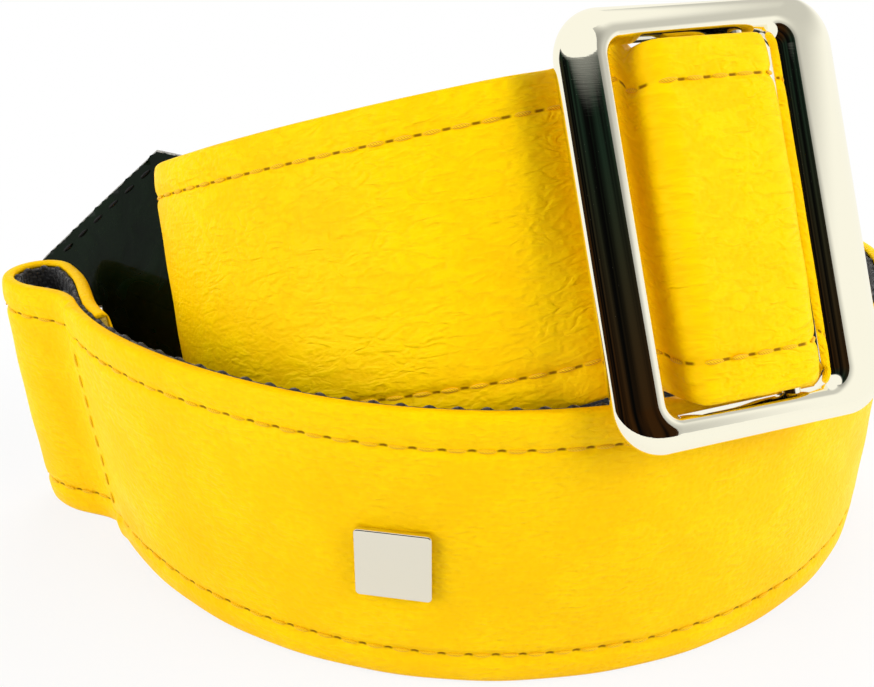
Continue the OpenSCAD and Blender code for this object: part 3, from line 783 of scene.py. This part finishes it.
def face_relief(length, across):
    """How far the face swells or sinks at places on the band."""
    swell = CROWN * np.clip(1 - (across / STITCH_LINE) ** 2, 0, 1)
    off_badge = np.maximum(np.abs(length - badge_at), np.abs(across + BADGE_DROP)) - BADGE_SIZE / 2
    swell = swell * eased(off_badge / BADGE_EASE)
    row = np.abs(np.abs(across) - STITCH_LINE)
    groove = GROOVE * np.exp(-(row / GROOVE_WIDTH) ** 2)
    in_gap = np.abs((length / STITCH_PITCH) % 1 - 0.5) * STITCH_PITCH
    pit = PIT * np.exp(-(row / PIT_WIDTH) ** 2) * np.exp(-(in_gap / PIT_LENGTH) ** 2)
    soft = UNEVEN * np.sin(length * 211 + 3 * across * 90) * np.sin(length * 83 + across * 130 + 1.3)
    past_seam = length - loop_seam_at
    crease = CREASE * np.exp(-(past_seam / CREASE_WIDTH) ** 2)
    crease = crease - SWELL * np.exp(-((past_seam - SWELL_AT) / SWELL_WIDTH) ** 2)
    along, up = length - pad_start - PUCKER_ALONG, across + HALF - PUCKER_UP
    folds = 0.7 + 0.3 * np.sin(PUCKER_FOLDS * np.arctan2(up, along))
    pucker = PUCKER * np.exp(-(np.hypot(along, up) / PUCKER_WIDTH) ** 2) * folds
    return swell - groove - pit + soft - crease - pucker


lengths = np.arange(0, strap_length, STITCH_PITCH / FACE_PER_STITCH)
out, across = spread(section, lengths)
face_out, face_across = out[:, :face_count], across[:, :face_count]
face_out += face_relief(lengths[:, None], face_across)
on_foam = np.abs(face_across) < FOAM_HALF
face_out[on_foam] = np.maximum(face_out[on_foam], FOAM + THINNEST)
around = run_round(section)
around -= around[np.argmin(np.abs(section[:face_count, 1]))]
face_piece = finish_piece("strap_face", roll_band(lengths, out, across, around), [leather], "strap",
                          "strap_cover")

# %% [markdown]
# ## Foam
# The foam fills the channel of the leather and shows only where the strap is cut off. It gets a pale
# open-celled look, from a Voronoi pattern that darkens the pores.

# %% Foam
FOAM_GAP, FOAM_STEPS = 0.00004, 500


def pale_foam():
    material, tree, shader = new_finish("pale_foam", Roughness=0.9, Specular_IOR_Level=0.2)
    cells = add(tree, "TexVoronoi", {"Vector": object_spot(tree), "Scale": 2200.0}).outputs["Distance"]
    colour = ramp(tree, cells, (0.22, 0.15, 0.02), (0.52, 0.37, 0.06), 0.05, 0.5)
    tree.links.new(colour, shader.inputs["Base Color"])
    emboss(tree, shader, cells, 0.6, 0.0002)
    return material


low, top, side = FOAM_GAP, FOAM - FOAM_GAP, FOAM_HALF - FOAM_GAP
section = np.array([[low, -side], [top, -side], [top, 0], [top, side], [low, side], [low, 0]])
lengths = np.linspace(0, lengths[-1], FOAM_STEPS)
foam_mesh = roll_band(lengths, *spread(section, lengths), run_round(section))
foam_piece = finish_piece("strap_filling", foam_mesh, [pale_foam()], "strap", "strap_foam")

# %% [markdown]
# ## Black webbing
# The lining is woven polyester. From above it shows as a thin black line behind the yellow rim, drawn
# up into small scallops by the stitches, so the edge of the band rises and falls with their pitch.
# The weave itself is a chequer of small domes, half of them lying along and half across.

# %% Webbing finish
THREAD_ALONG, THREAD_ACROSS = 1.5, 1.1


def black_webbing():
    material, tree, shader = new_finish("black_webbing", Roughness=0.6, Specular_IOR_Level=0.4,
                                        Sheen_Weight=0.2, Sheen_Roughness=0.4)
    run = add(tree, "UVMap", uv_map="run").outputs["UV"]
    cells = scaled(tree, run, (MM / THREAD_ALONG, MM / THREAD_ACROSS, 1))
    parts = add(tree, "SeparateXYZ", {"Vector": cells}).outputs
    domes = []
    for axis in "XY":
        offset = maths(tree, "SUBTRACT", maths(tree, "FRACT", parts[axis]), 0.5)
        fall = maths(tree, "MULTIPLY", maths(tree, "MULTIPLY", offset, offset), 4.0)
        domes.append(maths(tree, "SUBTRACT", 1.0, fall))
    over = add(tree, "TexChecker", {"Vector": cells, "Scale": 1.0}).outputs["Fac"]
    height = add(tree, "Mix", {0: over, 2: domes[0], 3: domes[1]}).outputs[0]
    colour = ramp(tree, height, (0.003, 0.003, 0.003), (0.03, 0.03, 0.031), 0.1, 1.0)
    tree.links.new(colour, shader.inputs["Base Color"])
    emboss(tree, shader, height, 0.8, 0.0004)
    return material


webbing = black_webbing()
print(webbing.name, len(webbing.node_tree.nodes), "nodes")

# %% Webbing band
SCALLOP, EDGE_IN, FRONT_RISE, FRONT_EASE = 0.0009, 0.0013, 0.0006, 0.02
FOLD_BEFORE, FOLD_EASE = 0.02, 0.008
RAISED_FROM, RAISED_EASE = 0.003, 0.0025
TUCKED_FROM, TUCKED_EASE = 0.0025, 0.0015
EDGE_POINTS, FLAT_POINTS, WEBBING_PER_STITCH = 7, 11, 8

edge_turn = np.radians(np.linspace(-90, 90, EDGE_POINTS))
edge_out = -WEBBING / 2 + WEBBING / 2 * np.sin(edge_turn)
edge_across = HALF - EDGE_IN - WEBBING / 2 + WEBBING / 2 * np.cos(edge_turn)
flat = np.linspace(-1, 1, FLAT_POINTS)[1:-1] * edge_across[0]
section = np.concatenate([np.column_stack([edge_out, edge_across]), np.column_stack([0 * flat, -flat]),
                          np.column_stack([edge_out[::-1], -edge_across]),
                          np.column_stack([0 * flat - WEBBING, flat])])
lengths = np.arange(0, strap_length, STITCH_PITCH / WEBBING_PER_STITCH)
out, across = spread(section, lengths)
wave = np.clip(np.cos(2 * np.pi * lengths / STITCH_PITCH), 0, 1)[:, None]
front_end = loop_seam_at + leg_length(roll_legs[0])
on_front = eased((lengths - loop_seam_at) / FRONT_EASE) * eased((front_end - lengths) / FRONT_EASE)
in_roll = 1 - eased((lengths - pad_start + FOLD_BEFORE) / FOLD_EASE)[:, None]
rise = SCALLOP * wave * in_roll + FRONT_RISE * on_front[:, None]
from_middle = np.abs(across)
out -= RIM_DEPTH * in_roll * eased((from_middle - FOAM_HALF + TUCKED_FROM) / TUCKED_EASE)
across += rise * eased((from_middle - HALF + RAISED_FROM) / RAISED_EASE) * np.sign(across)
webbing_piece = finish_piece("strap_lining", roll_band(lengths, out, across, run_round(section)), [webbing],
                             "strap", "strap_webbing")

# %% [markdown]
# ## Stitches
# Each stitch is one short length of thread that lies in the groove and dives into a hole at both ends,
# so a flattened ball, drawn out along the row, is all its shape. Its own UV map winds the yarn's twist
# round it. The direction is taken from the band itself, a little before and a little after the stitch,
# because the edge of a twisted band doesn't run quite like its middle.

# %% Thread finish and stitch helper
STITCH_HEIGHT = 0.00042
HALF_STITCH = np.array([-STITCH_LENGTH, STITCH_LENGTH]) / 2


def twisted_thread(name, dark, light, sheen):
    material, tree, shader = new_finish(name, Roughness=0.6, Sheen_Weight=sheen, Specular_IOR_Level=0.2)
    turned = scaled(tree, add(tree, "UVMap", uv_map="thread").outputs["UV"], (2, 5, 1), 0.6)
    strands = add(tree, "TexWave", {"Vector": turned, "Scale": 1.0, "Distortion": 0.6}).outputs["Fac"]
    tree.links.new(ramp(tree, strands, dark, light, 0.1, 0.7), shader.inputs["Base Color"])
    emboss(tree, shader, strands, 0.5, 0.0001)
    return material


def sew(mesh, stand):
    """One stitch at a matrix whose x runs along it."""
    size = Matrix.Diagonal((STITCH_LENGTH / 2, STITCH_WIDTH / 2, STITCH_HEIGHT, 1))
    shape = size @ Matrix.Rotation(math.pi / 2, 4, "Y")
    bmesh.ops.create_uvsphere(mesh, u_segments=8, v_segments=6, radius=1, matrix=stand @ shape,
                              calc_uvs=True)


def stand_between(first, last, out):
    """A matrix at the middle of two points, with x from one to the other and z near out."""
    along = (Vector(last) - Vector(first)).normalized()
    across = Vector(out).cross(along).normalized()
    turned = Matrix((along, across, along.cross(across))).transposed().to_4x4()
    return Matrix.Translation((Vector(first) + Vector(last)) / 2) @ turned


def stitches():
    """An empty bmesh with the UV map that the thread's twist needs."""
    mesh = bmesh.new()
    mesh.loops.layers.uv.new("thread")
    return mesh


yellow_thread = twisted_thread("yellow_thread", (0.66, 0.34, 0.0), (0.95, 0.57, 0.0), 0.1)
print(yellow_thread.name)

# %% Rows of stitches
ROW_START, ROW_END = STITCH_PITCH * 2, 0.002
SEAM_STEP, SEAM_STITCHES, THREAD_RISE = 0.0042, 8, 0.00012
STITCH_OUT = FACE - GROOVE + THREAD_RISE


def sew_row(name, side, node):
    mesh = stitches()
    row = side * STITCH_LINE
    for middle in np.arange(ROW_START, strap_length - ROW_END, STITCH_PITCH):
        ends = on_band(middle + HALF_STITCH, STITCH_OUT, row)
        stand = stand_between(*ends, station_at(middle, 3))
        stand.translation = on_band(middle, STITCH_OUT, row)
        sew(mesh, stand)
    finish_piece(name, mesh, [yellow_thread], "strap", node)


sew_row("upper_row", 1, "upper_stitching")
sew_row("lower_row", -1, "lower_stitching")

seam_mesh = stitches()
seam_at = loop_seam_at + SEAM_STEP
seam_reach = STITCH_LINE - STITCH_PITCH
for middle in np.linspace(-seam_reach, seam_reach, SEAM_STITCHES):
    ends = on_band(np.array([seam_at, seam_at]), FACE + face_relief(seam_at, middle), middle + HALF_STITCH)
    sew(seam_mesh, stand_between(*ends, station_at(seam_at, 3)))
finish_piece("seam_row", seam_mesh, [yellow_thread], "strap", "loop_seam")

# %% [markdown]
# ## Chrome slide
# The slide is a heavy cast ring, polished and plated. A grid is wrapped round it: its columns go round
# the rounded rectangle and its rows round the bar's section. The section's ridge lies nearer to the
# window, so each bar has a wide outer slope and a steep inner one, and they mirror different things.
# Chrome is all reflection: the finish is a nearly perfect mirror with faint haze and hairline scratches.
# Its cream tint is a painted reflection of the yellowish surroundings.

# %% Chrome finish
def polished_metal(name, colour, haze):
    material, tree, shader = new_finish(name, Base_Color=(*colour, 1), Metallic=1.0)
    spot = object_spot(tree)
    smudges = smooth_range(tree, noise(tree, spot, 90.0, 3.0), 0.35, 0.75, 0.02, haze)
    tree.links.new(smudges, shader.inputs["Roughness"])
    emboss(tree, shader, noise(tree, scaled(tree, spot, (300, 300, 4000)), 1.0, 2.0), 0.02, 0.0001)
    return material


# Painted reflection: the chrome is tinted cream, as if it mirrored the yellow strap round it.
chrome = polished_metal("chrome", (0.955, 0.92, 0.75), 0.07)
print(chrome.name)

# %% Slide ring
END_BAR, FAR_BAR, SLIDE_CORNER, LEAST_CORNER = 0.007, 0.0145, 0.01, 0.002
WINDOW_CLEARANCE, HANG_CLEARANCE = 0.0025, 0.0006
CORNER_STEPS, RING_SIDES, RIDGE_IN, RIDGE_LEFT = 20, 64, 0.4, 0.2

window = np.array([SLIDE_WIDTH - SIDE_BAR - FAR_BAR, STRAP_WIDTH + 2 * WINDOW_CLEARANCE])
window_middle = np.array([(SIDE_BAR - FAR_BAR) / 2, 0])
ring_size = np.array([SLIDE_WIDTH, window[1] + 2 * END_BAR])
slide_place = (slide_station[0] + shift + slide_middle * slide_station[1] + slide_out * slide_station[3]
               - (WINDOW_CLEARANCE - HANG_CLEARANCE) * slide_station[2])


def corner_points(size, radius):
    """Points round a rounded rectangle, corner by corner."""
    found = []
    for quarter, signs in enumerate(((1, 1), (-1, 1), (-1, -1), (1, -1))):
        middle = np.array(signs) * (size / 2 - radius)
        found += [middle + polar(radius, 90 * (quarter + k / CORNER_STEPS))
                  for k in range(CORNER_STEPS + 1)]
    return np.array(found)


def slide_ring():
    outer = corner_points(ring_size, SLIDE_CORNER)
    inner = corner_points(window, max(LEAST_CORNER, SLIDE_CORNER - END_BAR)) + window_middle
    columns = len(outer)
    mesh = bmesh.new()
    for vertex, (column, row) in grid_spots(mesh, columns, RING_SIDES).items():
        turn = 2 * math.pi * (row % RING_SIDES + 0.5) / RING_SIDES
        half_bar = (outer[column % columns] - inner[column % columns]) / 2
        ridge = RIDGE_IN - RIDGE_LEFT * half_bar[0] / np.linalg.norm(half_bar)
        reach_out = math.cos(turn) - ridge * max(math.sin(turn), 0) ** 3
        spot = inner[column % columns] + half_bar * (1 + reach_out)
        vertex.co = (*spot, SLIDE_THICKNESS / 2 * math.sin(turn))
    bmesh.ops.remove_doubles(mesh, verts=mesh.verts, dist=SAME_PLACE)
    bmesh.ops.recalc_face_normals(mesh, faces=mesh.faces)
    return stand_at(mesh, slide_station[1:], slide_place)


finish_piece("slide_ring", slide_ring(), [chrome], "slide", "slide_frame")
bar_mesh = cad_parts["slide_bar"].data
bar_mesh.materials.clear()
bar_mesh.materials.append(chrome)

# %% [markdown]
# ## Badge
# A small square plate of polished metal sits on the front, held by two posts that go through the
# strap into a backing plate. A cube with its upright edges bevelled to round corners and then its rims
# bevelled finely is the plate. Its face stays bare.

# %% Badge and backing
PLATE_CORNER, BADGE_RIM, BACKING_RIM, BADGE_GAP = 0.001, 0.0003, 0.0002, 0.00002
POST_RADIUS, POST_DISTANCE = 0.0011, 0.007

badge_metal = polished_metal("badge_metal", (0.78, 0.74, 0.62), 0.12)


def plate(size, thickness, rim):
    """A square plate that lies on z = 0, with round corners and softened rims."""
    mesh = bmesh.new()
    stretch = Matrix.Diagonal((size, size, thickness, 1))
    bmesh.ops.create_cube(mesh, size=1, matrix=Matrix.Translation((0, 0, thickness / 2)) @ stretch)
    upright = [e for e in mesh.edges if abs(e.verts[0].co.z - e.verts[1].co.z) > thickness / 2]
    soften(mesh, upright, PLATE_CORNER, 6)
    rims = [e for e in mesh.edges if abs(e.verts[0].co.z - e.verts[1].co.z) < thickness / 2
            and any(abs(f.normal.z) > 0.9 for f in e.link_faces)
            and any(abs(f.normal.z) < 0.1 for f in e.link_faces)]
    soften(mesh, rims, rim, 3)
    return mesh


def badge_part(name, mesh, lift, node):
    """A piece that lies on the strap where the badge is, some way out from the foam's back."""
    place = badge_middle + shift + lift * badge_station[3]
    stand_at(mesh, badge_station[1:], place)
    finish_piece(name, mesh, [badge_metal], "strap", node)


badge_mesh = plate(BADGE_SIZE, BADGE_THICKNESS, BADGE_RIM)
post_depth = FACE - backing_lift
for side in (-0.5, 0.5):
    middle = Matrix.Translation((side * POST_DISTANCE, 0, -post_depth / 2 + BADGE_THICKNESS / 2))
    bmesh.ops.create_cone(badge_mesh, cap_ends=True, segments=20, radius1=POST_RADIUS, radius2=POST_RADIUS,
                          depth=post_depth + BADGE_THICKNESS / 2, matrix=middle)
badge_part("badge", badge_mesh, FACE + BADGE_GAP, "badge_plate")
badge_part("badge_back", plate(BACKING_SIZE, BACKING_THICKNESS, BACKING_RIM), backing_lift, "badge_backing")

# %% [markdown]
# ## End tab
# The tab is cut from black glossy leather, two plies sewn together, with a slot that the strap passes
# through and a keyhole near its tip. Cutting is what bisect_plane does: a flat grid is trimmed to its
# outline along straight lines, the tip is rounded by many small cuts, and the holes are marked by cuts
# and emptied. Extruding gives the ply its thickness, and the cut edges keep a paler finish of their own.
# Where the tab rests against the end loop, its lower half gives way and bends back.

# %% Black leather finish
def black_leather():
    material, tree, shader = new_finish("tab_leather", Specular_IOR_Level=0.05, Coat_Weight=0.12,
                                        Coat_Roughness=0.04)
    spot = scaled(tree, object_spot(tree), (MM, MM, MM))
    grain = soft_cells(tree, spot, 1.1, 0.5)
    waves = noise(tree, spot, 0.09, 2.0, Distortion=0.8)
    height = maths(tree, "ADD", maths(tree, "MULTIPLY", grain, 0.05), waves)
    colour = ramp(tree, waves, (0.0006, 0.003, 0.0006), (0.002, 0.008, 0.002), 0.3, 0.7)
    tree.links.new(colour, shader.inputs["Base Color"])
    tree.links.new(smooth_range(tree, waves, 0.3, 0.7, 0.2, 0.32), shader.inputs["Roughness"])
    emboss(tree, shader, height, 0.35, 0.002)
    return material


def cut_edge():
    material, tree, shader = new_finish("cut_edge", Roughness=0.8)
    fibres = noise(tree, object_spot(tree), 2500.0, 3.0)
    colour = ramp(tree, fibres, (0.16, 0.155, 0.14), (0.42, 0.41, 0.38), 0.35, 0.65)
    tree.links.new(colour, shader.inputs["Base Color"])
    return material


tab_finishes = [black_leather(), cut_edge()]
print([x.name for x in tab_finishes])

# %% Outline of the tab
TAB_LENGTH, TAB_ROOT, TAB_SHOULDER = 0.056, 0.011, 0.0055
TAB_MARGIN, TAB_TIP, TAB_PLY = 0.005, 0.0198, 0.0014
TAB_ANGLE, SLOT_CLEARANCE, KEYHOLE, SLIT_LENGTH, SLIT_WIDTH = 156, 0.0017, 0.009, 0.008, 0.0016
TIP_CUTS, HOLE_CUTS, TAB_CELL = 14, 20, 0.0012
ROOT_SLOPE, HOLE_FROM_TIP, WORN_EDGE, TAB_WAVE = 0.33, 0.013, 0.0005, 0.00018
YIELD_START, YIELD_REACH, YIELD_SLOPE, YIELD_LINE, YIELD_SOFT = 0.022, 0.018, 0.12, 0.0015, 0.006

tab_half = HALF + SLOT_CLEARANCE + TAB_MARGIN
tip_middle = FACE + TAB_LENGTH - TAB_TIP
shoulder = FACE + SLOT_CLEARANCE + TAB_SHOULDER
tip_turn = math.atan2(tab_half, shoulder - tip_middle)
tip_turn -= math.acos(TAB_TIP / math.hypot(tip_middle - shoulder, tab_half))
hole_x = FACE + TAB_LENGTH - HOLE_FROM_TIP
tab_share = (TAB_ANGLE + 90 - back_heading) / roll_legs[3][1]
tab_station = stations_of(walk(roll_starts[3], roll_legs[3], [tab_share]))[0]


def tab_yield(x, y):
    """How far the tab is pushed back where it rests against the end loop."""
    below = YIELD_LINE - y
    return eased((x - YIELD_START) / YIELD_REACH) * YIELD_SLOPE * (below + math.hypot(below, YIELD_SOFT))


def cut(mesh, x, y, normal, faces=None, clear=False):
    """Cuts the flat mesh along a line, over all its faces or over those given."""
    chosen = list(mesh.faces) if faces is None else [f for f in faces if f.is_valid]
    geometry = {*chosen, *(e for f in chosen for e in f.edges), *(v for f in chosen for v in f.verts)}
    bmesh.ops.bisect_plane(mesh, geom=list(geometry), dist=SAME_PLACE, plane_co=(x, y, 0),
                           plane_no=(*normal, 0), clear_outer=clear)


def near(mesh, x, radius):
    """The faces within a radius of a point on the tab's middle line."""
    middles = [(f, f.calc_center_median()) for f in mesh.faces]
    return [f for f, c in middles if math.hypot(c.x - x, c.y) < radius]


def empty(mesh, inside):
    gone = [f for f in mesh.faces if inside(f.calc_center_median())]
    bmesh.ops.delete(mesh, geom=gone, context="FACES")


print("tab", round(2 * tab_half, 4), "m across,", TAB_LENGTH, "m long")

# %% Flat sheet of the tab
def tab_sheet():
    """The tab's flat outline with its slot, keyhole and slit, in x towards the tip and y across."""
    mesh = bmesh.new()
    tab_end = FACE + TAB_LENGTH
    columns, rows = round((tab_end + TAB_ROOT) / TAB_CELL), round(2 * tab_half / TAB_CELL)
    bmesh.ops.create_grid(mesh, x_segments=columns, y_segments=rows, size=0.5)
    bmesh.ops.scale(mesh, vec=(tab_end + TAB_ROOT, 2 * tab_half, 1), verts=mesh.verts)
    bmesh.ops.translate(mesh, vec=((tab_end - TAB_ROOT) / 2, 0, 0), verts=mesh.verts)
    for k in range(-TIP_CUTS, TIP_CUTS + 1):
        way = polar(1, math.degrees(tip_turn) * k / TIP_CUTS)
        cut(mesh, tip_middle + TAB_TIP * way[0], TAB_TIP * way[1], way, clear=True)
    for side in (-1, 1):
        cut(mesh, shoulder, side * tab_half, (-ROOT_SLOPE, side), clear=True)
    low, high, side = -WEBBING - SLOT_CLEARANCE, FACE + SLOT_CLEARANCE, HALF + SLOT_CLEARANCE
    for x, y, way in ((low, 0, (1, 0)), (high, 0, (1, 0)), (0, side, (0, 1)), (0, -side, (0, 1))):
        cut(mesh, x, y, way)
    empty(mesh, lambda c: low < c.x < high and abs(c.y) < side)
    ways = [polar(1, 360 * k / HOLE_CUTS) for k in range(HOLE_CUTS)]
    for way in ways:
        x, y = KEYHOLE / 2 * way
        cut(mesh, hole_x + x, y, way, near(mesh, hole_x, KEYHOLE * 0.8))
    empty(mesh, lambda c: all((c.x - hole_x) * w[0] + c.y * w[1] < KEYHOLE / 2 for w in ways))
    slit_end = hole_x - KEYHOLE / 2 - SLIT_LENGTH
    for x, y, way in ((slit_end, 0, (1, 0)), (0, SLIT_WIDTH / 2, (0, 1)), (0, -SLIT_WIDTH / 2, (0, 1))):
        cut(mesh, x, y, way, near(mesh, slit_end + SLIT_LENGTH / 2, SLIT_LENGTH))
    empty(mesh, lambda c: slit_end < c.x < hole_x and abs(c.y) < SLIT_WIDTH / 2)
    return mesh


print("the tab is cut from cells of", TAB_CELL, "m")

# %% Plies of the tab
def tab_ply(name, node, start):
    """One ply, from start to start plus its thickness along the tab's own z."""
    mesh = tab_sheet()
    top = bmesh.ops.extrude_face_region(mesh, geom=list(mesh.faces))["geom"]
    raised = [g for g in top if isinstance(g, bmesh.types.BMVert)]
    bmesh.ops.translate(mesh, vec=(0, 0, TAB_PLY), verts=raised)
    bmesh.ops.recalc_face_normals(mesh, faces=mesh.faces)
    for quad in mesh.faces:
        quad.material_index = 1 if abs(quad.normal.z) < 0.5 else 0
    rims = [e for e in mesh.edges if len({f.material_index for f in e.link_faces}) == 2]
    for quad in soften(mesh, rims, WORN_EDGE, 2):
        quad.material_index = 1
    for vertex in mesh.verts:
        x, y, z = vertex.co
        wave = TAB_WAVE * math.sin(150 * x + 60 * y) * math.sin(110 * y - 40 * x + 0.7)
        vertex.co.z = z + start + wave + tab_yield(x, y)
    place, along, across, out = tab_station
    stand_at(mesh, (out, across, -along), place + shift)
    finish_piece(name, mesh, tab_finishes, "tab", node)


tab_ply("tab_front_ply", "tab_front", -TAB_PLY)
tab_ply("tab_back_ply", "tab_back", 0.0)

# %% [markdown]
# A row of black stitches follows each slanted side of the tab, on both of its faces. Each stitch
# follows the bend, so its two ends are lifted by what the leather gives way there.

# %% Stitches on the tab
TAB_INSET, THREAD_LIFT = 0.003, 0.0001
black_thread = twisted_thread("black_thread", (0.002, 0.002, 0.002), (0.012, 0.012, 0.012), 0.0)
tab_mesh = stitches()
corner = np.array([shoulder, tab_half])
taper = np.array([tip_middle, 0]) + polar(TAB_TIP, math.degrees(tip_turn)) - corner
taper_way = unit(taper)
inward = np.array([taper_way[1], -taper_way[0]])
count = int(np.linalg.norm(taper) / STITCH_PITCH) - 1
place, along, across, out = tab_station
for side, face in ((-1, -1), (-1, 1), (1, -1), (1, 1)):
    for k in range(count):
        middle = corner + taper * (k + 1) / (count + 1) + TAB_INSET * inward
        ends = [middle + taper_way * half for half in HALF_STITCH]
        lifts = [face * (TAB_PLY + THREAD_LIFT) - tab_yield(p[0], side * p[1]) for p in ends]
        spots = [place + shift + p[0] * out + side * p[1] * across + lift * along
                 for p, lift in zip(ends, lifts)]
        sew(tab_mesh, stand_between(*spots, along))
finish_piece("tab_rows", tab_mesh, [black_thread], "tab", "tab_stitching")
